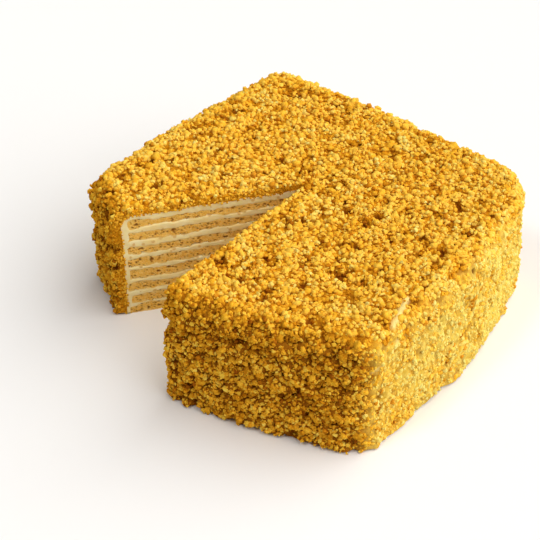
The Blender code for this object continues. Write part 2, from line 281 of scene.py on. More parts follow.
# Colours of the sponge, of the cream, and of the core between the crumbs
SPONGE_COLOURS = {
    "brown": (0.80, 0.37, 0.03),
    "golden": (0.92, 0.50, 0.06),
    "pale": (0.97, 0.64, 0.17),
    "soaked": (0.97, 0.75, 0.30),
    # painted shade inside the sponge's pores
    "pore": (0.27, 0.08, 0.007),
}
CREAM_COLOURS = {
    "warm": (0.98, 0.77, 0.34),
    "ivory": (1.0, 0.86, 0.50),
    "soaked": (0.95, 0.64, 0.18),
    "fleck": (0.72, 0.40, 0.08),
}
CORE_COLOURS = {
    "brown": (0.50, 0.165, 0.003),
    "amber": (0.64, 0.26, 0.007),
    "golden": (0.76, 0.36, 0.014),
    "butter": (0.72, 0.50, 0.065),
    "pale_butter": (0.79, 0.66, 0.16),
    # painted shade on the core in holes, hollows and at the front
    "painted_shade": (0.18, 0.035, 0.004),
    "cream": (0.97, 0.79, 0.29),
}

# Lights: where each comes from, its strength, its width in degrees and its colour
LIGHTS = {
    "window": ((0.56, 0.42, 0.72), 3.85, 90, (1.0, 0.98, 0.95)),
    "fill": ((-0.16, -0.50, 0.85), 0.7, 12, (1.0, 0.97, 0.93)),
}
ALL_ROUND = ((1.0, 0.97, 0.93), 0.14)
FLOOR_SHADE = 0.88
FLOOR_ROUGHNESS = 0.6
FLOOR_REACH = 4.0

# The photograph's camera
AIM = np.array((-31.92, 9.84, 0.0)) * MM
CAMERA_TURN = math.radians(39.4717)
CAMERA_DROP = math.radians(40)
CAMERA_DISTANCE = 0.936658
LENS = 100
SENSOR = 36


# Random numbers and fields

def held(values):
    """The values held between 0 and 1."""
    return np.clip(values, 0, 1)


def hashed(cells, seed):
    """A repeatable number from 0 to 1 for each lattice cell, mixed from its whole numbers and the seed."""
    whole = cells.astype(np.int64).astype(np.uint64)
    mixed = whole[..., 0] * np.uint64(73856093)
    mixed ^= whole[..., 1] * np.uint64(19349663)
    mixed ^= whole[..., 2] * np.uint64(83492791)
    mixed ^= np.uint64(seed * 2654435761 + 97)
    mixed ^= mixed >> np.uint64(15)
    mixed *= np.uint64(2246822519)
    mixed ^= mixed >> np.uint64(13)
    mixed *= np.uint64(3266489917)
    mixed ^= mixed >> np.uint64(16)
    return (mixed % np.uint64(1000003)).astype(float) / 1000003


def smooth_noise(points, size, seed):
    """A soft field from -1 to 1: random values on a lattice, blended between by s * s * (3 - 2 * s)."""
    scaled = points / size
    base = np.floor(scaled)
    part = scaled - base
    part = part * part * (3 - 2 * part)
    total = np.zeros(points.shape[:-1])
    for corner in product((0, 1), repeat=3):
        corner = np.array(corner)
        weight = np.where(corner, part, 1 - part).prod(axis=-1)
        total += weight * hashed(base + corner, seed)
    return 2 * total - 1


def noise_shift(points, size, seed):
    """Three soft fields as one vector at each point, for swaying places."""
    return np.stack([smooth_noise(points, size, seed + axis) for axis in range(3)], axis=-1)


def nearest_cell(points, size, seed):
    """Distance to the nearest of one random point in each lattice cell, in cell sizes, and its number."""
    scaled = points / size
    base = np.floor(scaled)
    nearest = np.full(points.shape[:-1], 9.0)
    number = np.zeros(points.shape[:-1])
    for corner in product((-1, 0, 1), repeat=3):
        cell = base + np.array(corner)
        place = cell + np.stack([hashed(cell, seed + axis) for axis in range(3)], axis=-1)
        distance = np.linalg.norm(scaled - place, axis=-1)
        closer = distance < nearest
        nearest = np.where(closer, distance, nearest)
        number = np.where(closer, hashed(cell, seed + 3), number)
    return nearest, number


def lumps(points, size, seed):
    """Rounded lumps about a size across: 1 in the middle, falling with the distance's square to 0."""
    nearest, _ = nearest_cell(points, size, seed)
    return held(1 - (nearest / 0.8) ** 2)


def pores(points, size, share, seed):
    """Holes in a sponge: 1 in the middle of some of the cells, 0 between them, with soft edges."""
    nearest, number = nearest_cell(points, size, seed)
    radius = 0.22 + 0.4 * number / share
    return np.where(number < share, held((radius - nearest) / 0.18), 0)


def hill(distance, width):
    """A soft hill: exp(-(distance / width) ** 2)."""
    return np.exp(-((distance / width) ** 2))


# Plan and sections

def unit(vectors):
    """The vectors brought to length 1."""
    return vectors / np.linalg.norm(vectors, axis=-1, keepdims=True)


def ways_at(angles):
    """Flat directions at the angles: cosine and sine."""
    return np.stack([np.cos(angles), np.sin(angles)], axis=-1)


def from_point(points):
    """Flat distance from the cut's point."""
    return np.linalg.norm(points[..., :2] - POINT, axis=-1)


def angles_of(arms):
    """The angles of arms from the cut's point, counted up from the right cut."""
    angle = np.arctan2(arms[:, 1], arms[:, 0])
    return np.where(angle < RIGHT_CUT, angle + 2 * math.pi, angle)


def outline(inset):
    """The plan outline moved in by the inset, anticlockwise, with its outward directions.

    A corner is an arc round its middle; a side is a straight line plus its bulge times sin(pi * share).
    """
    corners = CORNERS[:, :2] + CENTRE_SHIFT
    before = unit(corners - np.roll(corners, 1, axis=0))
    after = unit(np.roll(corners, -1, axis=0) - corners)
    turn = before[:, :1] * after[:, 1:] - before[:, 1:] * after[:, :1]
    corners = corners + (after - before) / turn * inset
    sweep = np.arccos((before * after).sum(axis=1))
    radius = np.maximum(CORNERS[:, 2] - inset, 1 * MM)
    start = corners - before * (radius * np.tan(sweep / 2))[:, None]
    middle = start + radius[:, None] * np.stack([-before[:, 1], before[:, 0]], axis=1)
    first = np.arctan2(-before[:, 0], before[:, 1])
    arc_ways = ways_at(first[:, None] + sweep[:, None] * np.linspace(0, 1, ARC_STEPS + 1))
    arcs = middle[:, None] + radius[:, None, None] * arc_ways
    leave, ways = arcs[:, -1:], arc_ways[:, -1:]
    arrive = np.roll(start, -1, axis=0)[:, None]
    share = np.linspace(0, 1, SIDE_STEPS, endpoint=False)[None, :, None]
    bulge = CORNERS[:, 3][:, None, None] * np.sin(math.pi * share)
    sides = leave + (arrive - leave) * share + ways * bulge
    side_ways = np.broadcast_to(ways, sides.shape)
    points = np.concatenate([arcs[:, :-1], sides], axis=1).reshape(-1, 2)
    return points, np.concatenate([arc_ways[:, :-1], side_ways], axis=1).reshape(-1, 2)


def reach(inset, angles):
    """How far the outline lies from the cut's point along each angle, and the angle that it faces there."""
    points, ways = outline(inset)
    arms = points - POINT
    around = np.unwrap(np.arctan2(arms[:, 1], arms[:, 0]))
    facing = np.unwrap(np.arctan2(ways[:, 1], ways[:, 0]))
    far = np.linalg.norm(arms, axis=1)
    full = 2 * math.pi
    around = np.concatenate([around - full, around, around[:1] + full])
    facing = np.concatenate([facing - full, facing, facing[:1] + full])
    far = np.concatenate([far, far, far[:1]])
    return np.interp(angles, around, far), np.interp(angles, around, facing)


def column_angles(spacing):
    """Angles from cut to cut whose points on the outline lie a spacing apart, and the outline's length."""
    fine = np.linspace(RIGHT_CUT, LEFT_CUT, 6001)
    far, _ = reach(0, fine)
    steps = np.linalg.norm(np.diff(far[:, None] * ways_at(fine), axis=0), axis=1)
    length = np.concatenate([[0], np.cumsum(steps)])
    count = round(length[-1] / spacing)
    return np.interp(np.linspace(0, length[-1], count + 1), length, fine), length[-1]


def dome_path(inset, radius, top, counts):
    """Stations of a section: share of the way out, inset, height and upward tilt.

    The top is flat, the shoulder is a quarter circle of the radius, and the wall goes straight down.
    The counts are the steps over each of the three.
    """
    flat, bend, wall = counts
    turn = np.linspace(math.pi / 2, 0, bend + 1)[1:]
    drop = np.linspace(top - radius, FOOT_CLEARANCE, wall + 1)[1:]
    share = np.concatenate([np.linspace(0, 1, flat + 1), np.ones(bend + wall)])
    inwards = radius * (1 - np.cos(turn))
    insets = np.concatenate([np.full(flat + 1, radius), inwards, np.zeros(wall)]) + inset
    heights = np.concatenate([np.full(flat + 1, top), top - radius + radius * np.sin(turn), drop])
    tilts = np.concatenate([np.full(flat + 1, math.pi / 2), turn, np.zeros(wall)])
    return share, insets, heights, tilts


def path_counts(spacing, radius, top):
    """Steps over the flat top, the shoulder and the wall for a spacing."""
    flat = max(2, round(MEAN_REACH / spacing))
    bend = max(2, round(radius * math.pi / 2 / spacing))
    wall = max(1, round((top - radius - FOOT_CLEARANCE) / spacing))
    return flat, bend, wall


def dome_points(angles, path):
    """Points on a dome and their outward directions: a row for each angle, a column for each station.

    A point lies on its angle's ray at the share of the outline's distance, at the station's height.
    """
    places, outwards = [], []
    for share, inset, height, tilt in zip(*path):
        far, facing = reach(inset, angles)
        x = POINT[0] + share * far * np.cos(angles)
        y = POINT[1] + share * far * np.sin(angles)
        places.append(np.stack([x, y, np.full(len(angles), height)], axis=-1))
        flat = math.cos(tilt)
        rise = np.full(len(angles), math.sin(tilt))
        outwards.append(np.stack([flat * np.cos(facing), flat * np.sin(facing), rise], axis=-1))
    return np.stack(places, axis=1), np.stack(outwards, axis=1)


def cut_normal(angle):
    """The direction in which the cut face at this angle looks."""
    side = -1 if angle == RIGHT_CUT else 1
    return np.array((*ways_at(angle + side * math.pi / 2), 0.0))


# Meshes

def mesh_object(name, points, triangles, material, smooth=True, values=None, tidy=True):
    """One object from points and triangles, with named values on its points."""
    used, triangles = np.unique(triangles, return_inverse=True)
    triangles = triangles.reshape(-1, 3)
    points = points[used]
    mesh = bpy.data.meshes.new(name)
    mesh.vertices.add(len(points))
    mesh.vertices.foreach_set("co", points.astype(np.float32).ravel())
    mesh.loops.add(triangles.size)
    mesh.loops.foreach_set("vertex_index", triangles.astype(np.int32).ravel())
    mesh.polygons.add(len(triangles))
    mesh.polygons.foreach_set("loop_start", np.arange(0, triangles.size, 3, dtype=np.int32))
    for word, field in (values or {}).items():
        attribute = mesh.attributes.new(word, "FLOAT", "POINT")
        attribute.data.foreach_set("value", field[used].astype(np.float32))
    mesh.update(calc_edges=True)
    if tidy:
        solid = bmesh.new()
        solid.from_mesh(mesh)
        bmesh.ops.recalc_face_normals(solid, faces=solid.faces[:])
        solid.to_mesh(mesh)
        solid.free()
    mesh.polygons.foreach_set("use_smooth", np.full(len(mesh.polygons), smooth))
    if smooth and tidy:
        mesh.set_sharp_from_angle(angle=math.radians(60))
    mesh.materials.append(material)
    item = put(name, mesh)
    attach(item, "root")
    return item


def put(name, data):
    """A new object in the scene."""
    item = bpy.data.objects.new(name, data)
    bpy.context.scene.collection.objects.link(item)
    return item


def grid_triangles(index):
    """Two triangles for each cell of a grid of point numbers."""
    a, b = index[:-1, :-1], index[:-1, 1:]
    c, d = index[1:, 1:], index[1:, :-1]
    return np.concatenate([np.stack([a, b, c], -1).reshape(-1, 3), np.stack([a, c, d], -1).reshape(-1, 3)])


def bridge_triangles(fine, coarse, match):
    """Triangles between a fine and a coarse line of point numbers, by each fine point's coarse partner."""
    near = coarse[match]
    first = np.stack([fine[:-1], fine[1:], near[:-1]], -1)
    second = np.stack([fine[1:], near[1:], near[:-1]], -1)
    return np.concatenate([first, second])


def section_solid(caps, lower, upper, lower_match, upper_match):
    """A closed solid swept round the cut's point, as points and triangles.

    The two caps are fine grids on the cut faces, from the lower to the upper edge and from the axis
    outwards. Between them run the sections' lower and upper lines, which may be coarser: the matches
    give each cap station's partner on them. All sections share their points on the axis.
    """
    rows, stations = caps[0].shape[:2]
    sections = len(lower)
    sizes = [rows * stations, rows * stations, lower[..., 0].size, upper[..., 0].size]
    starts = np.concatenate([[0], np.cumsum(sizes)])
    first = np.arange(sizes[0]).reshape(rows, stations)
    last = first + starts[1]
    last[:, 0] = first[:, 0]
    under = np.arange(sizes[2]).reshape(sections, -1) + starts[2]
    over = np.arange(sizes[3]).reshape(sections, -1) + starts[3]
    under[:, 0] = first[0, 0]
    over[:, 0] = first[-1, 0]
    loops = np.concatenate([under, over[:, ::-1]], axis=1)
    low_count, high_count = under.shape[1], over.shape[1]
    side = np.full(rows - 2, low_count - 1)
    match = np.concatenate([lower_match, side, low_count + high_count - 1 - upper_match[::-1]])
    triangles = [grid_triangles(first), grid_triangles(last), grid_triangles(loops)]
    for cap, loop in ((first, loops[0]), (last, loops[-1])):
        edge = np.concatenate([cap[0], cap[1:-1, -1], cap[-1, ::-1]])
        triangles.append(bridge_triangles(edge, loop, match))
    triangles = np.concatenate(triangles)
    a, b, c = triangles.T
    triangles = triangles[(a != b) & (b != c) & (c != a)]
    points = np.concatenate([part.reshape(-1, 3) for part in (caps[0], caps[1], lower, upper)])
    return points, triangles


def matched(fine, coarse):
    """Each fine station's nearest coarse one, part by part, for two section paths given by step counts."""
    parts, start = [np.array([0])], 0
    for many, few in zip(fine, coarse):
        parts.append(start + np.round(np.linspace(0, few, many + 1)).astype(int)[1:])
        start += few
    return np.concatenate(parts)


def cap_grid(low_line, high_line, rows, angle, relief):
    """The cut face between two lines: straight rows from one to the other, pushed out by the relief.

    Returns the grid of points and the marks. The push fades to nothing towards the axis, which both
    cut faces share.
    """
    share = np.linspace(0, 1, rows)[:, None]
    grid = low_line + (high_line - low_line) * share[..., None]
    push, marks = relief(grid, share)
    push = push * held(from_point(grid) / AXIS_FADE)
    return grid + push[..., None] * cut_normal(angle), marks


def section_piece(name, caps, marks, lower, upper, match, material):
    """A closed piece from its cut faces and its hidden sections, with the marks on the cut faces only."""
    points, triangles = section_solid(caps, lower, upper, match, match)
    none = np.zeros(lower[..., 0].size + upper[..., 0].size)
    values = {word: np.concatenate([mark[word].ravel() for mark in marks] + [none]) for word in marks[0]}
    return mesh_object(name, points, triangles, material, values=values)


# Layers

def wave_at(x, y, boundary):
    """The solids' wave noise at one place, in their own coordinates."""
    x, y = x - CENTRE_SHIFT[0], y - CENTRE_SHIFT[1]
    return noise.noise(Vector((x / WAVE_LENGTH, y / WAVE_LENGTH, boundary * 7.3)))


def wave_tables():
    """The wave of each boundary between layers on a square lattice, by the rule that shaped the solids."""
    low, high = PLAN_LOW - 20 * MM, PLAN_HIGH + 20 * MM
    xs, ys = (np.arange(start, end, WAVE_LATTICE) for start, end in zip(low, high))
    tables = []
    for boundary in range(2 * HONEY_LAYERS):
        flat = 0 if boundary == 0 else WAVE_HEIGHT
        tables.append([[flat * wave_at(x, y, boundary) for y in ys] for x in xs])
    return low, np.array(tables)


def sample(table, column, station):
    """Values of a table between its rows and columns, blended from the four around."""
    column = np.clip(column, 0, table.shape[0] - 1.001)
    station = np.clip(station, 0, table.shape[1] - 1.001)
    i, j = column.astype(int), station.astype(int)
    p, q = column - i, station - j
    if table.ndim == 3:
        p, q = p[..., None], q[..., None]
    near = (1 - q) * table[i, j] + q * table[i, j + 1]
    return (1 - p) * near + p * ((1 - q) * table[i + 1, j] + q * table[i + 1, j + 1])


def layer_names():
    """The solids of the stack from the bottom up."""
    names = []
    for number in range(1, HONEY_LAYERS + 1):
        names += [f"honey_layer_{number}", f"cream_layer_{number}"]
    return names[:-1]


def boundary_heights():
    """Mean heights of the layers' boundaries: halfway between a solid's top and the next one's underside."""
    boxes = [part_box(name) for name in layer_names()]
    between = [(under[1][2] + over[0][2]) / 2 for under, over in zip(boxes[:-1], boxes[1:])]
    return [0.0] + between + [STACK_TOP]


WAVE_CORNER, WAVES = wave_tables()
BOUNDARIES = boundary_heights()


def boundary_height(flat, number):
    """Height of one boundary over places in plan: its mean, its wave, and fine unevenness above the base."""
    cell = (flat[..., :2] - WAVE_CORNER) / WAVE_LATTICE
    height = BOUNDARIES[number] + sample(WAVES[number], cell[..., 0], cell[..., 1])
    if number == 0:
        return height
    if number < 2 * HONEY_LAYERS - 1:
        height = height + (0.5 - number % 2) * CREAM_EXTRA[(number - 1) // 2]
    lifted = np.concatenate([flat[..., :2], np.full(flat[..., :1].shape, number * 29 * MM)], axis=-1)
    for amount, size in UNEVEN:
        height = height + amount * smooth_noise(lifted, size, 11)
    return height


def layer_lines(flat, number, spread):
    """Lower and upper heights of a layer, which overlap the neighbours by the spread and never cross."""
    low = boundary_height(flat, number) - (spread if number else 0)
    high = boundary_height(flat, number + 1) + spread
    return low, np.maximum(high, low + THINNEST_LAYER)


def sponge_relief(points, share):
    """A torn crumb: pores cut into the face, and soft roughness at two scales.

    The marks are the pores, and where cream has soaked in along the layer's edges.
    """
    flattened = points * (1, 1, 1.5)
    size, part, depth = SMALL_PORES
    small = pores(flattened, size, part, 21)
    push = -depth * small
    size, part, depth = LARGE_PORES
    large = pores(flattened, size, part, 25)
    push = push - depth * large
    push += sum(tall * smooth_noise(points, size, 31 + n) for n, (tall, size) in enumerate(SPONGE_ROUGH))
    width, uneven, size = SOAKED_EDGE
    edge = 1 - np.minimum(share, 1 - share) / width
    soaked = held(edge + uneven * smooth_noise(points, size, 33))
    return push, {"pore": np.maximum(small, large), "soaked": soaked}


def cream_relief(points, share):
    """Soft cream between two sponges: it lies back along both edges."""
    span = np.linalg.norm(points[-1] - points[0], axis=-1)
    return smeared(points, np.minimum(share, 1 - share) * span)


def cream_coat_relief(points, share):
    """The cream coat's section: it lies back along its inner edge."""
    return smeared(points, share * np.linalg.norm(points[-1] - points[0], axis=-1))


def smeared(points, from_edge):
    """Cream cut by a knife: soft, and lying back near an edge, so that the sponge covers it unevenly.

    The push rises from -EDGE_DEPTH at the edge to the swell over EDGE_LENGTH.
    """
    forward = held(from_edge / EDGE_LENGTH)
    slow = smooth_noise(points, CREAM_SWELL[1], 41)
    push = forward * CREAM_SWELL[0] * (1 + slow) - (1 - forward) * EDGE_DEPTH
    push += CREAM_ROUGH[0] * smooth_noise(points, CREAM_ROUGH[1], 42)
    return push, {"pore": pores(points, *CREAM_FLECKS, 43), "soaked": held(slow)}


def layer_end(number, angle):
    """How far a layer reaches beyond the solids' line at a cut: only a honey layer, by its own amount."""
    if number % 2:
        return 0.0
    low, high = SPONGE_ENDS
    cell = np.array((number, int(angle > 0), 0))
    return low + (high - low) * float(hashed(cell, 19))


def add_layer(number, name, node, relief, rows, spread, material):
    """One layer of the stack: fine faces on the two cuts, which overlap the neighbours by the spread, and
    coarser ones where the stack hides it."""
    fine, hidden = round(MEAN_REACH / CUT_SPACING), round(MEAN_REACH / HIDDEN_SPACING)
    caps, marks = [], []
    for angle in CUTS:
        far, _ = reach(STACK_INSET - layer_end(number, angle), angle)
        flat = POINT + (far * np.linspace(0, 1, fine + 1))[:, None] * ways_at(angle)
        heights = layer_lines(flat, number, spread)
        lines = [np.concatenate([flat, height[:, None]], axis=1) for height in heights]
        cap, mark = cap_grid(*lines, rows, angle, relief)
        caps.append(cap)
        marks.append(mark)
    angles = column_angles(HIDDEN_SPACING)[0][1:-1]
    far, _ = reach(STACK_INSET, angles)
    away = far[:, None] * np.linspace(0, 1, hidden + 1)
    flat = POINT + away[..., None] * ways_at(angles)[:, None]
    heights = layer_lines(flat, number, OVERLAP if spread else 0)
    lower, upper = (np.concatenate([flat, height[..., None]], axis=-1) for height in heights)
    piece = section_piece(name, caps, marks, lower, upper, matched((fine,), (hidden,)), material)
    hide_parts(node)
    return piece


def add_stack(sponge, cream):
    """All honey and cream layers, each in the place of its solid."""
    for number, node in enumerate(layer_names()):
        kind, order = node.split("_")[0], node.split("_")[2]
        if kind == "honey":
            piece = add_layer(number, f"sponge_{order}", node, sponge_relief, ROWS[kind], 0.0, sponge)
        else:
            piece = add_layer(number, f"cream_{order}", node, cream_relief, ROWS[kind], UNDERLAP, cream)


# Coats

def cream_sections(angles, counts):
    """Lower and upper lines of the cream coat at the angles: over the stack, and under the crumbs."""
    radius = SHOULDER_RADIUS - CRUMB_THICKNESS
    upper, outwards = dome_points(angles, dome_path(CRUMB_THICKNESS, radius, CREAM_TOP, counts))
    upper = upper + outwards * (meeting_line(upper, outwards[..., 2]) + OVERLAP)[..., None]
    lower, _ = dome_points(angles, dome_path(STACK_INSET, STACK_RADIUS, STACK_TOP, counts))
    over_stack = lower[:, : counts[0] + 1]
    over_stack[..., 2] = boundary_height(over_stack, 2 * HONEY_LAYERS - 1) - OVERLAP
    return lower, upper


def add_cream_coat(material):
    """The cream over the stack's top and sides: a thick skin whose section shows on both cuts."""
    radius = SHOULDER_RADIUS - CRUMB_THICKNESS
    fine = path_counts(COAT_CUT_SPACING, radius, CREAM_TOP)
    flat, _, wall = path_counts(HIDDEN_SPACING, radius, CREAM_TOP)
    few = (flat, 3, wall)
    caps, marks = [], []
    for angle in CUTS:
        lower, upper = cream_sections(np.array([angle]), fine)
        on_wall = np.arange(lower.shape[1]) > fine[0]
        inwards = (inner_edge(lower[0], angle) + UNDERLAP) * on_wall
        lower[0, :, :2] -= inwards[:, None] * ways_at(angle)
        lower[0, ~on_wall, 2] -= UNDERLAP
        cap, mark = cap_grid(lower[0], upper[0], ROWS["cream_coat"], angle, cream_coat_relief)
        caps.append(cap)
        marks.append(mark)
    lines = cream_sections(column_angles(HIDDEN_SPACING)[0][1:-1], few)
    piece = section_piece("cream_cover", caps, marks, *lines, matched(fine, few), material)
    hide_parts("cream_coat")


def inner_edge(points, angle):
    """How far in the outer cream reaches at a cut: over the ends of the cream layers, and back from each
    honey layer's end."""
    lines = np.stack([boundary_height(points, number) for number in range(2 * HONEY_LAYERS)], axis=-1)
    number = np.clip((points[:, 2:] > lines).sum(axis=-1) - 1, 0, 2 * HONEY_LAYERS - 2)
    ends = np.array([layer_end(each, angle) for each in range(2 * HONEY_LAYERS - 1)])
    over, amount, size = INNER_EDGE
    inwards = np.where(number % 2, over, OVERLAP - ends[number])
    return inwards + amount * held(smooth_noise(points, size, 51))


def meeting_line(points, upward):
    """How far out from the solids' line cream and crumbs meet: further on the top than on the wall."""
    on_top, on_wall = MEETING_SHIFT
    shift = on_wall + (on_top - on_wall) * upward
    return shift + sum(amount * smooth_noise(points, size, 55) for amount, size in MEETING)


def dent_mask(points, outwards):
    """The broken hollow under the front's rim: 1 at its deepest, with a wandering height and gaps."""
    level = DENT[1] + DENT_RISE * points[..., 0]
    level = level + DENT_SWAY[0] * smooth_noise(points * (1, 1, 0), DENT_SWAY[1], 63)
    patches = held(0.55 + 0.9 * smooth_noise(points, DENT_PATCHES, 64))
    return held(-outwards[..., 1]) ** 2 * hill(points[..., 2] - level, DENT[2]) * patches


def wall_form(points, outwards):
    """The wall's form: in at the foot, with bulges, out at the rim, dented at the front, and leaning."""
    z = points[..., 2]
    foot = -FOOT_INSET * held(1 - z / FOOT_HEIGHT) ** 2
    amount, size, height = FOOT_BULGE
    foot = foot + amount * held(smooth_noise(points, size, 65)) * hill(z, height)
    rim = RIM[0] * hill(z - RIM[1], RIM[2])
    form = (foot + rim - DENT[0] * dent_mask(points, outwards)) * (1 - outwards[..., 2])
    level = np.sqrt(held(1 - outwards[..., 2] ** 2))
    for *middle, width, amount in LEANS:
        away = np.linalg.norm(points - np.array(middle), axis=-1)
        form = form + amount * level * hill(away, width)
    return form


def clumps(points):
    """Clusters of crumbs: lumps of uneven outline, as their places are swayed before they are measured."""
    size = CLUMP[1]
    return lumps(points + CLUMP_SHIFT * size * noise_shift(points, size / 2, 73), size, 72)


def hollows(points, outwards):
    """Where the coat is low and short of crumbs: 1 between clumps and in the dent, 0 on the clumps."""
    return held(np.maximum(1 - clumps(points) / HOLLOW_LEVEL, dent_mask(points, outwards)))


def smear_mask(points):
    """Where cream shows: 1 on a smear's middle line, which soft noise sways, and less across its width."""
    mask = np.zeros(points.shape[:-1])
    amount, size = SMEAR_SWAY
    places = points + amount * noise_shift(points, size, 57)
    for start, end, width, strength in SMEARS:
        start = np.array(start) * MM
        way = np.array(end) * MM - start
        share = held((places - start) @ way / (way @ way))
        away = np.linalg.norm(places - start - share[..., None] * way, axis=-1)
        mask = np.maximum(mask, strength * held(1.6 - away / (width * MM)))
    return mask


def spot_mask(points, outwards):
    """Lone small holes with toasted crumbs in the right side: 1 in them, 0 elsewhere."""
    nearest, number = nearest_cell(points, SPOT_SPACING, 68)
    radius = 0.09 + 0.2 * number
    right = outwards[..., 0] > 0.5
    return np.where(right & (number < SPOT_SHARE), held((radius - nearest) / 0.04), 0)


def near_corner(points):
    """How much of the right side's paleness stays: all of it at the back, less by the front corner."""
    amount, length = CORNER_BROWNER
    return 1 - amount * held(-points[..., 1] / length)


def butter_mask(points, outwards):
    """Where cream has soaked through: 1 in patches on the side that faces +X, 0 elsewhere."""
    right = held((outwards[..., 0] - 0.6) / 0.3)
    return right * held(0.6 + 0.9 * smooth_noise(points * (1, 1, 0.7), BUTTER_PATCHES, 67))


def pit_mask(points, outwards):
    """Where crumbs are missing: 1 in scattered hollows, less on the side that faces +X, 0 elsewhere.

    The noise's lattice is turned out of line with the cake, so that no hollows line up with its sides.
    """
    turned = points @ PIT_TURN
    field = 0.7 * smooth_noise(turned, PIT_SIZE, 61) + 0.3 * smooth_noise(turned, PIT_SIZE / 3, 62)
    start, growth = PIT_LEVEL
    return held((field - start) / growth) * (1 - RIGHT_PITS * held(outwards[..., 0]))


def coat_relief(points, outwards):
    """How far the coat's core stands out: the wall's form, a slow swell, clumps and grit, less the pits."""
    butter = butter_mask(points, outwards)
    push = wall_form(points, outwards) - CORE_SINK + BUTTER_FILL * butter
    for amount, size in (SWELL, ROUGH):
        push += amount * smooth_noise(points, size, 71)
    front, right, upward = held(-outwards[..., 1]), held(outwards[..., 0]), outwards[..., 2]
    bend = 4 * upward * (1 - upward)
    more = WALL_CLUMPS * (1 - upward) + FRONT_CLUMPS * front + SHOULDER_CLUMPS * bend - RIGHT_CLUMPS * right
    push += CLUMP[0] * (1 + more) * (clumps(points) - 0.45)
    push += GRIT[0] * (1 - 0.8 * butter) * (lumps(points, GRIT[1], 76) - 0.5)
    push -= PIT_DEPTH * pit_mask(points, outwards) + SPOT_DEPTH * spot_mask(points, outwards)
    cream = smear_mask(points)
    return np.maximum(push * (1 - SMEAR_FLAT * cream) + SMEAR_LIFT * cream, -DEEPEST)


def crumb_section_relief(points, _):
    """The crumb coat's cut face: coarse grit."""
    amount, size = SECTION_GRIT
    return amount * (lumps(points, size, 81) - 0.7), {}


def core_marks(places, outwards):
    """Where the core is painted dark for shade in holes, hollows and at the front, creamy from soaked cream,
    or bare cream.
    """
    front, right = held(-outwards[..., 1]), held(outwards[..., 0])
    anywhere, at_front, at_right = HOLLOW_PAINTED_SHADE
    between = (anywhere + at_front * front - at_right * right) * hollows(places, outwards)
    holes = np.maximum(pit_mask(places, outwards), spot_mask(places, outwards))
    butter = np.maximum(butter_mask(places, outwards), RIGHT_BUTTERY * right**2)
    return {
        # painted shade: the core darkened in holes, between clumps and all over the front
        "painted_shade": np.maximum(holes, np.maximum(between, FRONT_PAINTED_SHADE * front)),
        "butter": butter * near_corner(places),
        "cream": smear_mask(places),
    }


def add_crumb_core(material):
    """The crumb coat's body, with grit in its surface. Returns what the crumbs need to lie on it."""
    angles, length = column_angles(CORE_SPACING)
    fine = path_counts(CORE_SPACING, SHOULDER_RADIUS, COAT_TOP)
    places, outwards = dome_points(angles, dome_path(0, SHOULDER_RADIUS, COAT_TOP, fine))
    surface = places + outwards * coat_relief(places, outwards)[..., None]
    surface[:, 0] = surface[0, 0]
    surface[..., 2] = np.maximum(surface[..., 2], FOOT_CLEARANCE)
    radius = SHOULDER_RADIUS - CRUMB_THICKNESS
    path = dome_path(CRUMB_THICKNESS, radius, CREAM_TOP, fine)
    caps = []
    for row, angle in zip((0, -1), CUTS):
        normal = cut_normal(angle)
        off = (surface[row] - places[row]) @ normal
        fade = held(from_point(places[row]) / OVERHANG_LENGTH)
        off = off + RAGGED[0] * fade * (0.5 + 0.5 * smooth_noise(places[row], RAGGED[1], 66))
        surface[row] -= off[:, None] * normal
        inner, inner_out = dome_points(angles[[row]], path)
        inner = inner + inner_out * (meeting_line(inner, inner_out[..., 2]) - OVERLAP)[..., None]
        cap, _ = cap_grid(inner[0], surface[row], ROWS["crumbs"], angle, crumb_section_relief)
        cap[-1] = surface[row]
        caps.append(cap)
    lower, _ = dome_points(angles, dome_path(CRUMB_THICKNESS, radius, CREAM_TOP, INNER_COUNTS))
    upper = surface[1:-1]
    lower_match, upper_match = matched(fine, INNER_COUNTS), np.arange(sum(fine) + 1)
    points, triangles = section_solid(caps, lower[1:-1], upper, lower_match, upper_match)
    none = np.zeros(len(points) - upper[..., 0].size)
    marks = core_marks(places, outwards)
    values = {word: np.concatenate([none, mark[1:-1].ravel()]) for word, mark in marks.items()}
    piece = mesh_object("crumb_core", points, triangles, material, values=values)
    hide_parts("crumb_coat")
    grids = {"places": places, "surface": surface, "outwards": outwards, "caps": caps}
    return {"angles": angles, "length": length, "counts": fine, **grids}


# Crumbs

def shaken_pattern(width, height, spacing, draw):
    """Evenly scattered places over a rectangle: a triangular pattern with every point shaken."""
    rows = int(height / (spacing * ROW_RISE)) + 1
    columns = int(width / spacing) + 1
    v, u = np.mgrid[0:rows, 0:columns].astype(float)
    u += 0.5 * (v % 2)
    places = np.stack([u * spacing, v * spacing * ROW_RISE], axis=-1).reshape(-1, 2)
    return places + draw.uniform(-SHAKE, SHAKE, places.shape) * spacing


def places_on_top(core, spacing, draw):
    """Scattered places on the flat top, as column and station numbers of the core's grid."""
    arms = PLAN_LOW + shaken_pattern(*(PLAN_HIGH - PLAN_LOW), spacing, draw) - POINT
    angle = angles_of(arms)
    far, _ = reach(SHOULDER_RADIUS, angle)
    share = np.linalg.norm(arms, axis=1) / far
    keep = (angle <= LEFT_CUT) & (share <= 1)
    columns = np.interp(angle, core["angles"], np.arange(len(core["angles"])))
    return columns[keep], (share * core["counts"][0])[keep]


def places_on_side(core, spacing, draw):
    """Scattered places on the shoulder and the wall, as column and station numbers."""
    flat, bend, wall = core["counts"]
    bend_length = SHOULDER_RADIUS * math.pi / 2
    wall_length = COAT_TOP - SHOULDER_RADIUS - FOOT_CLEARANCE
    spots = shaken_pattern(core["length"], bend_length + wall_length, spacing, draw)
    columns = spots[:, 0] / core["length"] * (len(core["angles"]) - 1)
    knots = (0, bend_length, bend_length + wall_length)
    return columns, np.interp(spots[:, 1], knots, (flat, flat + bend, flat + bend + wall))


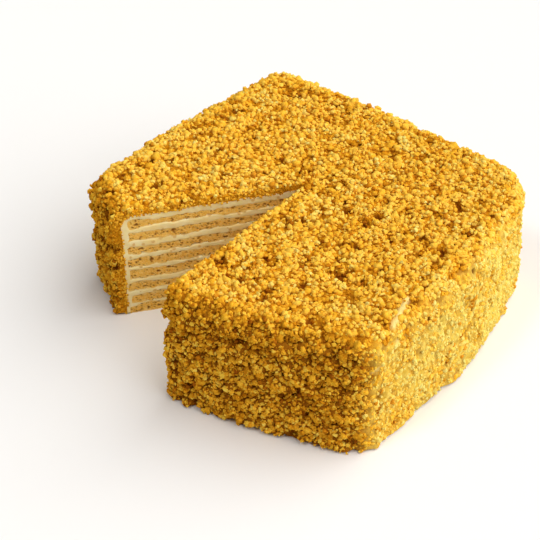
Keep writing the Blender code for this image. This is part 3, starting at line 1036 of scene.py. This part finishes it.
def places_on_cut(core, spacing, draw):
    """Scattered places on the crumb coat's two cut faces: points and outward directions."""
    points, outs = [], []
    for cap, angle in zip(core["caps"], CUTS):
        length = np.linalg.norm(np.diff(cap[-1], axis=0), axis=1).sum()
        spots = shaken_pattern(length, CRUMB_THICKNESS, spacing, draw)
        station = spots[:, 0] / length * (cap.shape[1] - 1)
        row = spots[:, 1] / CRUMB_THICKNESS * (cap.shape[0] - 1)
        points.append(sample(cap, row, station))
        outs.append(np.broadcast_to(cut_normal(angle), points[-1].shape))
    return np.concatenate(points), np.concatenate(outs)


def turned_at_random(shapes, draw):
    """The shapes turned by random unit quaternions (w, q): a point v goes to v + 2 * q x (w * v + q x v)."""
    spins = unit(draw.normal(size=(len(shapes), 4)))[:, None]
    axes = spins[..., 1:]
    return shapes + 2 * np.cross(axes, spins[..., :1] * shapes + np.cross(axes, shapes))


def template(form):
    """A starting form for crumbs: points on a unit ball and their triangles.

    A ball has 48 triangles, a block 20, a nugget 12 and a chip 8.
    """
    solid = bmesh.new()
    if form == "ball":
        bmesh.ops.create_uvsphere(solid, u_segments=6, v_segments=5, radius=1)
    elif form == "block":
        bmesh.ops.create_icosphere(solid, subdivisions=1, radius=1)
    elif form == "nugget":
        bmesh.ops.create_cube(solid, size=2 / math.sqrt(3))
    else:
        bmesh.ops.create_uvsphere(solid, u_segments=4, v_segments=2, radius=1)
    bmesh.ops.triangulate(solid, faces=solid.faces[:])
    points = np.array([vertex.co for vertex in solid.verts])
    triangles = np.array([[vertex.index for vertex in face.verts] for face in solid.faces])
    solid.free()
    return points, triangles


def kept_off_cuts(placed, draw):
    """The crumbs' points, moved back where a crumb would hang too far over the cut on its side.

    How far a crumb may hang over differs from crumb to crumb, and shrinks towards the cut's point.
    """
    point = np.array((*POINT, 0.0))
    arms = placed.mean(axis=1) - point
    angle = angles_of(arms)
    halfway = (RIGHT_CUT + LEFT_CUT) / 2
    by_right = (angle < halfway) | (angle > halfway + math.pi)
    allowed = draw.uniform(*OVERHANG, len(placed))
    for cut, own in zip(CUTS, (by_right, ~by_right)):
        normal = cut_normal(cut)
        along = arms @ np.array((*ways_at(cut), 0.0))
        limit = allowed * np.clip(along / OVERHANG_LENGTH, 0.1, 1)
        beyond = ((placed - point) @ normal).max(axis=1) - limit
        back = np.where(own & (along > 0) & (beyond > 0), beyond, 0)
        placed = placed - back[:, None, None] * normal
    return placed


def add_crumbs(kind, points, outs, radii, lifts, tones, material, draw):
    """One kind of crumbs as a single mesh: each a ball with every point moved in or out, stretched, turned
    at random, pressed flat against the coat, and set on it by the lifts."""
    ball, faces = template(kind.form)
    count = len(points)
    rough = draw.uniform(1 - CRUMB_ROUGHNESS, 1 + CRUMB_ROUGHNESS, (count, len(ball), 1))
    stretch = draw.uniform(1 - CRUMB_STRETCH, 1 + CRUMB_STRETCH, (count, 1, 3))
    shapes = turned_at_random(ball * rough * stretch * radii[:, None, None], draw)
    along = (shapes * outs[:, None]).sum(axis=-1, keepdims=True)
    shapes -= outs[:, None] * along * (1 - CRUMB_FLATNESS)
    centres = points + outs * (radii * lifts * draw.uniform(*CRUMB_LIFTS, count))[:, None]
    placed = kept_off_cuts(shapes + centres[:, None], draw)
    placed[..., 2] = np.maximum(placed[..., 2], LOWEST_CRUMB)
    triangles = (faces + len(ball) * np.arange(count)[:, None, None]).reshape(-1, 3)
    values = {"tone": np.repeat(tones, len(ball))}
    placed = placed.reshape(-1, 3)
    piece = mesh_object(kind.name, placed, triangles, material, kind.smooth, values, tidy=False)
    return piece


def crumb_bed(core, kind, draw):
    """One kind over the whole coat, thinned where crumbs are few: points on the core, the same places before
    the core's relief, outward directions and radii."""
    top = places_on_top(core, kind.spacing * MM, draw)
    side = places_on_side(core, kind.spacing * MM, draw)
    spots = [np.concatenate(pair) for pair in zip(top, side)]
    points, places, outs = (sample(core[word], *spots) for word in ("surface", "places", "outwards"))
    outs = unit(outs)
    right, pits, fine = held(outs[:, 0]), pit_mask(places, outs), kind.spacing < FINE_SPACING
    thinner = 1 - RIGHT_FULLER * right
    chance = kind.on_wall + (kind.on_top - kind.on_wall) * outs[:, 2]
    chance = chance * (1 - held(SMEAR_BARE * smear_mask(places)))
    if kind.colour != "toasted":
        chance *= 1 - np.maximum(PIT_LACKING * pits, spot_mask(places, outs))
    chance *= 1 - kind.lacking * hollows(places, outs) * thinner
    chance *= 1 - BUTTER_LACKING[fine] * butter_mask(places, outs)
    if fine:
        chance *= 1 - RIGHT_LACKING * right
    if kind.colour == "toasted":
        size, start, growth, least = TOASTED_PATCHES
        patches = np.clip((smooth_noise(places, size, 93) - start) / growth, least, 1)
        chance *= np.maximum(patches, pits) * thinner
    keep = draw.random(len(points)) < chance
    points, places, outs = points[keep], places[keep], outs[keep]
    radii = (kind.small + (kind.large - kind.small) * draw.random(len(points)) ** 1.6) * MM
    return points, places, outs, radii


def crumb_tones(points, outs, draw):
    """Tones from 0, brown, to 1, pale: each crumb its own, drifting from place to place, painted darker for
    shade in the hollows and at the front, paler on the right and where cream has soaked through."""
    right = held(outs[:, 0]) ** 2
    drift = (DRIFT[0] + DRIFT[1] * right) * smooth_noise(points, DRIFT[2], 91)
    paler = (RIGHT_PALER * right + BUTTER_PALER * butter_mask(points, outs)) * near_corner(points)
    # painted shade: crumbs darkened in the hollows and on the side facing the front
    painted_shade_tone = HOLLOW_SHADE_DARKENING * hollows(points, outs) + FRONT_SHADE_DARKENING * held(-3 * outs[:, 1])
    own = (OWN_TONE[0] - OWN_TONE[1] * right) * draw.random(len(points))
    return held(MEAN_TONE + own + drift + paler - painted_shade_tone)


def cut_bed(core, kind, draw):
    """Crumbs on the coat's cut faces: points, outward directions, radii, lifts and tones, which are painted
    darker towards the cut's point for the shade there."""
    spacing, small, large = CUT_CRUMBS
    points, outs = places_on_cut(core, spacing, draw)
    amount, length = CUT_POINT_SHADE_DARKENING
    # painted shade: crumbs darkened near the cut's point
    tones = crumb_tones(points, outs, draw) - amount * held(1 - from_point(points) / length)
    radii = draw.uniform(small, large, len(points)) * MM
    return points, outs, radii, np.full(len(points), kind.lift), held(tones)


def add_all_crumbs(core, colours, draw):
    """The crumbs of each kind, with those on the coat's cut faces among the fine ones."""
    for kind in KINDS:
        points, places, outs, radii = crumb_bed(core, kind, draw)
        tones = crumb_tones(places, outs, draw)
        # painted shade: crumbs darkened in the pits
        tones -= PIT_SHADE_DARKENING * tones * pit_mask(places, outs)
        sunk = np.maximum(BUTTER_SUNK * butter_mask(places, outs), RIGHT_SUNK * held(outs[:, 0]))
        bed = [points, outs, radii, kind.lift - sunk, tones]
        if kind.name == "crumbs_fine":
            bed = [np.concatenate(pair) for pair in zip(bed, cut_bed(core, kind, draw))]
        piece = add_crumbs(kind, *bed, colours[kind.colour], draw)
        print(kind.name, len(bed[0]), "crumbs,", len(piece.data.polygons), "triangles")


# Materials

def new_node(tree, kind, inputs=None, **settings):
    """A shader node with its settings, values and links."""
    item = tree.nodes.new(kind)
    for word, value in settings.items():
        setattr(item, word, value)
    for word, value in (inputs or {}).items():
        if isinstance(value, bpy.types.NodeSocket):
            tree.links.new(value, item.inputs[word])
        else:
            item.inputs[word].default_value = value
    return item


def noise_group(name, inputs, output, detail):
    """A shader node group with cloudy noise of a size in millimetres: its tree, ends and noise value."""
    tree = bpy.data.node_groups.new(name, "ShaderNodeTree")
    for word, kind in (("Vector", "Vector"), ("Size", "Float"), *inputs):
        tree.interface.new_socket(word, in_out="INPUT", socket_type=f"NodeSocket{kind}")
    tree.interface.new_socket(output[0], in_out="OUTPUT", socket_type=f"NodeSocket{output[1]}")
    given, result = tree.nodes.new("NodeGroupInput"), tree.nodes.new("NodeGroupOutput")
    scale = new_node(tree, "ShaderNodeMath", {0: 1.0, 1: given.outputs["Size"]}, operation="DIVIDE")
    values = {"Vector": given.outputs["Vector"], "Scale": scale.outputs[0], "Detail": detail}
    return tree, given, result, new_node(tree, "ShaderNodeTexNoise", values).outputs["Fac"]


def make_mottle():
    """A group that gives a value from 0 to 1 in soft blotches of a size in millimetres."""
    tree, _, result, cloud = noise_group("mottle", (), ("Value", "Float"), 3.0)
    spread = new_node(tree, "ShaderNodeMapRange", {"Value": cloud, "From Min": 0.32, "From Max": 0.68})
    tree.links.new(spread.outputs["Result"], result.inputs["Value"])
    return tree


def make_grain():
    """A group that gives a bumpy normal, with bumps of a size in millimetres and a height in metres."""
    tree, given, result, cloud = noise_group("grain", (("Height", "Float"),), ("Normal", "Vector"), 4.0)
    values = {"Height": cloud, "Distance": given.outputs["Height"], "Strength": 1.0}
    tree.links.new(new_node(tree, "ShaderNodeBump", values).outputs["Normal"], result.inputs["Normal"])
    return tree


def use_group(tree, group, place, size, **more):
    """What a group gives at a place, for a size in millimetres."""
    inputs = {"Vector": place, "Size": size, **more}
    return new_node(tree, "ShaderNodeGroup", inputs, node_tree=group).outputs[0]


def blend(tree, share, *colours):
    """A colour between two, by a share."""
    first, second = ((*value, 1.0) if isinstance(value, tuple) else value for value in colours)
    return new_node(tree, "ShaderNodeMix", {0: share, 6: first, 7: second}, data_type="RGBA").outputs[2]


def marked(tree, word, strength):
    """A share that follows one of the values kept on the mesh."""
    value = new_node(tree, "ShaderNodeAttribute", attribute_name=word).outputs["Fac"]
    return new_node(tree, "ShaderNodeMath", {0: value, 1: strength}, operation="MULTIPLY").outputs[0]


def colour_ramp(tree, value, stops):
    """Colours along a value, given as position and colour."""
    item = new_node(tree, "ShaderNodeValToRGB", {"Fac": value})
    ramp = item.color_ramp
    for position, _ in stops[1:-1]:
        ramp.elements.new(position)
    for element, (position, colour) in zip(ramp.elements, stops):
        element.position = position
        element.color = (*colour, 1.0)
    return item.outputs["Color"]


def start_material(name):
    """A material's tree with its Principled shader and object coordinates in millimetres."""
    material = bpy.data.materials.new(name)
    material.use_nodes = True
    tree = material.node_tree
    place = new_node(tree, "ShaderNodeTexCoord").outputs["Object"]
    scaled = new_node(tree, "ShaderNodeMapping", {"Vector": place, "Scale": (1000, 1000, 1000)})
    return material, tree, tree.nodes["Principled BSDF"], scaled.outputs["Vector"]


def set_shader(tree, shader, colour, normal, roughness, gloss, soft=0.0, radius=(1, 1, 1), depth=1 * MM):
    """The Principled shader's colour, normal and plain settings, with the depth to which light soaks in."""
    tree.links.new(colour, shader.inputs["Base Color"])
    tree.links.new(normal, shader.inputs["Normal"])
    shader.inputs["Roughness"].default_value = roughness
    shader.inputs["Specular IOR Level"].default_value = gloss
    shader.inputs["Subsurface Weight"].default_value = soft
    shader.inputs["Subsurface Radius"].default_value = radius
    shader.inputs["Subsurface Scale"].default_value = depth


def sponge_material(mottle, grain):
    """Honey sponge: golden with browner and paler blotches, pale where cream soaked in, and painted shade in
    the pores.
    """
    material, tree, shader, place = start_material("honey_sponge_crumb")
    shades = SPONGE_COLOURS
    colour = blend(tree, use_group(tree, mottle, place, size=5.0), shades["brown"], shades["golden"])
    colour = blend(tree, use_group(tree, mottle, place, size=0.9), colour, shades["pale"])
    colour = blend(tree, marked(tree, "soaked", 0.5), colour, shades["soaked"])
    # painted shade in the pores
    colour = blend(tree, marked(tree, "pore", 0.9), colour, shades["pore"])
    normal = use_group(tree, grain, place, size=0.7, Height=0.25 * MM)
    set_shader(tree, shader, colour, normal, roughness=0.85, gloss=0.15,
               soft=0.12, radius=(1.0, 0.6, 0.25), depth=1.2 * MM)
    return material


def cream_material(mottle, grain):
    """Cream: ivory, warmer where honey has soaked in, with flecks of sponge."""
    material, tree, shader, place = start_material("soft_cream")
    shades = CREAM_COLOURS
    colour = blend(tree, use_group(tree, mottle, place, size=7.0), shades["warm"], shades["ivory"])
    colour = blend(tree, marked(tree, "soaked", 0.5), colour, shades["soaked"])
    colour = blend(tree, marked(tree, "pore", 0.7), colour, shades["fleck"])
    normal = use_group(tree, grain, place, size=1.6, Height=0.22 * MM)
    set_shader(tree, shader, colour, normal, roughness=0.45, gloss=0.3,
               soft=0.3, radius=(1.0, 0.8, 0.5), depth=1.5 * MM)
    return material


def core_material(mottle, grain):
    """The coat between the crumbs: golden brown grit, painted darker for shade in holes, hollows and at the
    front, paler and smoother where buttery.
    """
    material, tree, shader, place = start_material("crumb_grit")
    shades = CORE_COLOURS
    wide = use_group(tree, mottle, place, size=6.0)
    colour = blend(tree, wide, shades["brown"], shades["amber"])
    colour = blend(tree, use_group(tree, mottle, place, size=1.3), colour, shades["golden"])
    butter = blend(tree, wide, shades["butter"], shades["pale_butter"])
    colour = blend(tree, marked(tree, "butter", 0.85), colour, butter)
    # painted shade in holes, hollows and at the front
    colour = blend(tree, marked(tree, "painted_shade", 0.9), colour, shades["painted_shade"])
    colour = blend(tree, marked(tree, "cream", 1.0), colour, shades["cream"])
    lower = marked(tree, "butter", -0.45 * MM)
    height = new_node(tree, "ShaderNodeMath", {0: lower, 1: 0.6 * MM}, operation="ADD").outputs[0]
    normal = use_group(tree, grain, place, size=0.9, Height=height)
    set_shader(tree, shader, colour, normal, roughness=0.9, gloss=0.0)
    return material


def crumb_material(name, mottle, grain, stops):
    """Crumbs: each has its own tone, with fine blotches and a gritty surface."""
    material, tree, shader, place = start_material(name)
    tone = new_node(tree, "ShaderNodeAttribute", attribute_name="tone").outputs["Fac"]
    size, amount = TONE_MOTTLE
    close = use_group(tree, mottle, place, size)
    mixed = new_node(tree, "ShaderNodeMath", {0: close, 1: amount, 2: tone}, operation="MULTIPLY_ADD")
    share = new_node(tree, "ShaderNodeMath", {0: mixed.outputs[0], 1: 1 + amount}, operation="DIVIDE")
    colour = colour_ramp(tree, share.outputs[0], stops)
    size, height = CRUMB_BUMPS
    set_shader(tree, shader, colour, use_group(tree, grain, place, size, Height=height), *CRUMB_SURFACE)
    return material


# Floor, light and camera

def add_stage():
    """A plain pale floor, even light all round, a soft light from behind right, and a weak one in front."""
    corners = [(x * FLOOR_REACH, y * FLOOR_REACH, 0) for x, y in ((-1, -1), (1, -1), (1, 1), (-1, 1))]
    mesh = bpy.data.meshes.new("floor")
    mesh.from_pydata(corners, [], [(0, 1, 2, 3)])
    floor = put("floor", mesh)
    material = bpy.data.materials.new("pale_floor")
    material.use_nodes = True
    shader = material.node_tree.nodes["Principled BSDF"]
    shader.inputs["Base Color"].default_value = (FLOOR_SHADE, FLOOR_SHADE, FLOOR_SHADE, 1.0)
    shader.inputs["Roughness"].default_value = FLOOR_ROUGHNESS
    mesh.materials.append(material)
    floor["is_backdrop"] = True

    world = bpy.data.worlds.new("studio")
    world.use_nodes = True
    sky = world.node_tree.nodes["Background"]
    colour, strength = ALL_ROUND
    sky.inputs["Color"].default_value = (*colour, 1.0)
    sky.inputs["Strength"].default_value = strength
    bpy.context.scene.world = world

    for name, (towards, energy, width, colour) in LIGHTS.items():
        light = bpy.data.lights.new(name, "SUN")
        light.energy = energy
        light.angle = math.radians(width)
        light.color = colour
        put(name, light).rotation_euler = Vector(towards).to_track_quat("Z", "Y").to_euler()


def add_camera():
    """The camera at the photograph's angle, aimed at a place on the floor."""
    ahead = np.array((-math.sin(CAMERA_TURN), math.cos(CAMERA_TURN), 0.0)) * math.cos(CAMERA_DROP)
    ahead[2] = -math.sin(CAMERA_DROP)
    data = bpy.data.cameras.new("camera")
    data.lens = LENS
    data.sensor_width = SENSOR
    data.sensor_fit = "HORIZONTAL"
    camera = put("camera", data)
    camera.location = AIM - ahead * CAMERA_DISTANCE
    camera.rotation_euler = Vector(ahead).to_track_quat("-Z", "Y").to_euler()
    bpy.context.scene.camera = camera


def main():
    """Everything in order: stage and camera first, then the cake from the inside out."""
    add_stage()
    add_camera()
    bpy.context.scene.view_settings.view_transform = "Standard"
    groups = make_mottle(), make_grain()
    sponge, cream = sponge_material(*groups), cream_material(*groups)
    colours = {word: crumb_material(f"{word}_crumbs", *groups, stops) for word, stops in STOPS.items()}
    add_stack(sponge, cream)
    add_cream_coat(cream)
    core = add_crumb_core(core_material(*groups))
    add_all_crumbs(core, colours, np.random.default_rng(5))
    total = sum(len(piece.data.polygons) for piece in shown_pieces() if piece.type == "MESH")
    print("triangles in all", total)


main()
